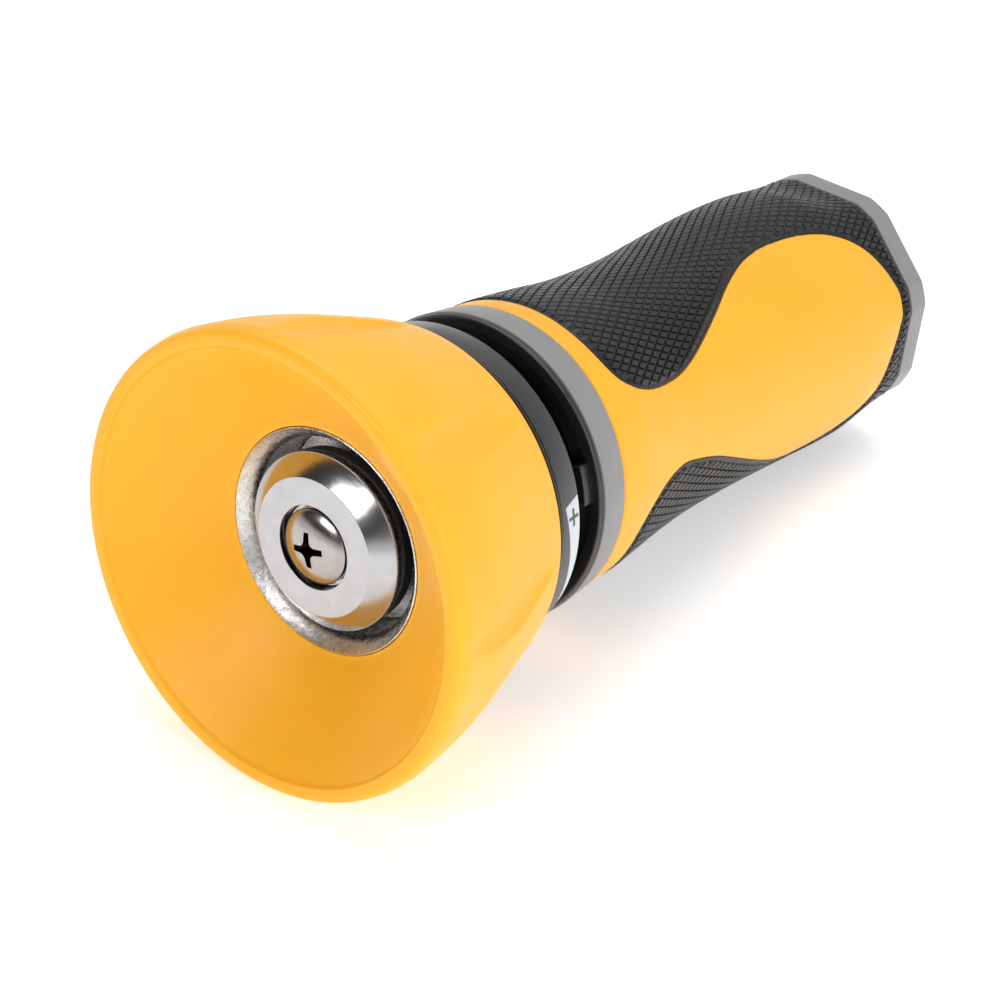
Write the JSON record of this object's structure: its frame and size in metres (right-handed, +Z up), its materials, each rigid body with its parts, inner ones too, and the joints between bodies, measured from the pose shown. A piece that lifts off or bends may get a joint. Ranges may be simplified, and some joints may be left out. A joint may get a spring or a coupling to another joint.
{
  "type": "hose spray nozzle",
  "caption": "Twist-head hose nozzle: a flared bell turns on a rubber-gripped handle, moving the outlet along a fixed tip disc to set or shut off the water.",
  "frame": {"origin": "centre of the nozzle's box, on the surface it lies on, under the middle of its length", "axes": "+Y from the spray end towards the hose end, +Z up, +X towards the side panel that faces slightly upwards; the nozzle's own axis leans 5.73 degrees down towards +Y"},
  "size_m": [0.076, 0.165, 0.0755],
  "materials": {
    "bell_plastic": "satin golden-yellow soft moulding",
    "panel_plastic": "satin golden-yellow hard plastic",
    "grip_rubber": "matt black rubber with a fine raised diamond waffle",
    "black_plastic": "satin black",
    "grey_plastic": "satin mid grey",
    "cast_metal": "bright rough die casting",
    "plated_metal": "turned and polished plate",
    "tube_metal": "machined",
    "inlet_metal": "machined brass",
    "seal_rubber": "smooth black seal rubber",
    "label": "pale silver print"
  },
  "bodies": {
    "handle": {"stop_clip": "tube_metal", "pointer_collar": "black_plastic", "front_ring": "grey_plastic", "handle_shell": "panel_plastic", "handle_core": "black_plastic", "grip_upper": "grip_rubber", "grip_lower": "grip_rubber", "end_cap": "grey_plastic", "inlet_insert": "inlet_metal", "hose_washer": "seal_rubber", "inlet_seal": "seal_rubber", "water_tube": "tube_metal", "barrel_seal_front": "seal_rubber", "barrel_seal_rear": "seal_rubber", "valve_stem": "tube_metal", "stem_spider": "tube_metal", "stem_nut": "tube_metal", "spider_clip": "tube_metal", "tip_disc": "plated_metal", "tip_gasket": "seal_rubber", "tip_screw": "plated_metal"},
    "stop_ring": {"stop_ring": "black_plastic"},
    "head": {"bell": "bell_plastic", "outlet_barrel": "cast_metal", "indicator_ring": "black_plastic", "indicator_label": "label"}
  },
  "joints": [
    {"name": "head_turn", "type": "hinge", "parent": "handle", "child": "stop_ring", "pos_m": [0, -0.02596, 0.03275], "axis": [0, 0.995, -0.0998], "range_deg": [-225, 12]},
    {"name": "head_travel", "type": "slide", "parent": "stop_ring", "child": "head", "axis": [0, 0.995, -0.0998], "range_m": [-0.00602, 0.00034]}
  ],
  "couplings": [
    {"joint": "head_travel", "follows": "head_turn", "m_per_rad": 0.0015279}
  ]
}
